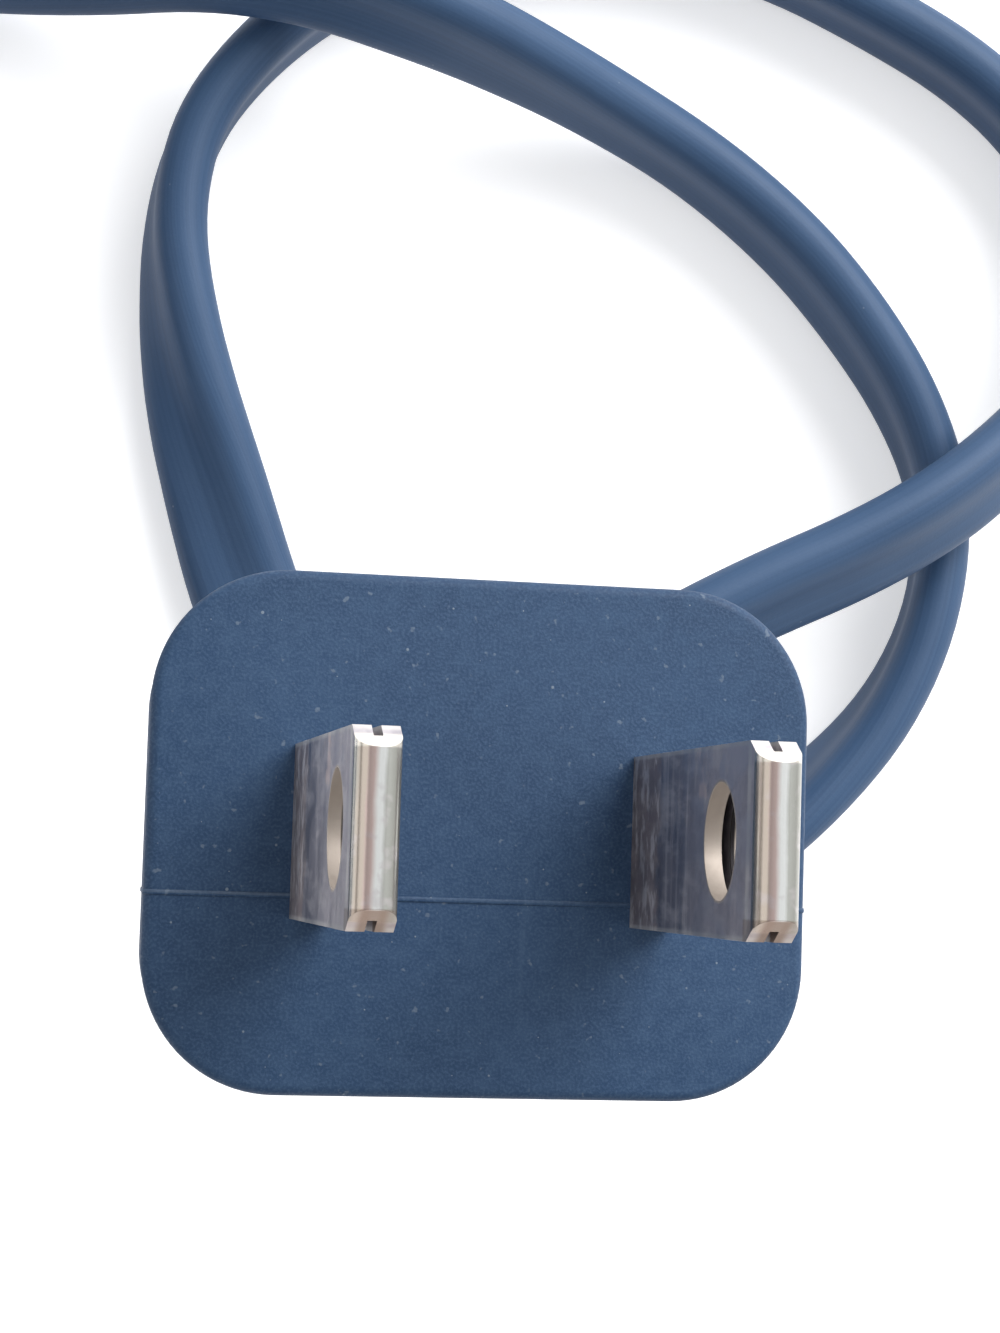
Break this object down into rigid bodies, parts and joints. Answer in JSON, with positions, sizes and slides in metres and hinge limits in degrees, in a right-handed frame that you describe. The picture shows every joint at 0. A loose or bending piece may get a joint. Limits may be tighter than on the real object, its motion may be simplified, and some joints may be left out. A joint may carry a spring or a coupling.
{
  "type": "type a plug",
  "caption": "Straight moulded plug with flat parallel blades, ribbed grip and slotted strain relief, on a flat twin cord that ends in split bare leads.",
  "frame": {"origin": "middle of the plug's face, halfway between the two blades", "axes": "+Z along the blades, out of the face; +X from the left blade to the right one; -Z towards the strain relief and the cord"},
  "size_m": [0.147, 0.079, 0.077],
  "materials": {
    "moulded_pvc": "fine matte moulded grain, dark navy",
    "cord_pvc": "smooth matte, dark navy",
    "plated_blade": "nickel plating over brass, lightly scuffed",
    "tinned_copper": "tinned stranded copper",
    "inner_carrier": "hard moulded plastic",
    "tie_plastic": "thin black plastic tie"
  },
  "bodies": {
    "root": {"plug_body": "moulded_pvc", "blade_left": "plated_blade", "blade_right": "plated_blade", "blade_bridge": "inner_carrier", "conductor_left": "tinned_copper", "conductor_right": "tinned_copper", "core_left": "cord_pvc", "core_right": "cord_pvc", "cord_entry": "cord_pvc", "cord_run": "cord_pvc", "cord_coil": "cord_pvc", "cord_tail": "cord_pvc", "lead_outer": "cord_pvc", "lead_inner": "cord_pvc", "wire_end_outer": "tinned_copper", "wire_end_inner": "tinned_copper", "coil_tie": "tie_plastic"}
  },
  "joints": []
}
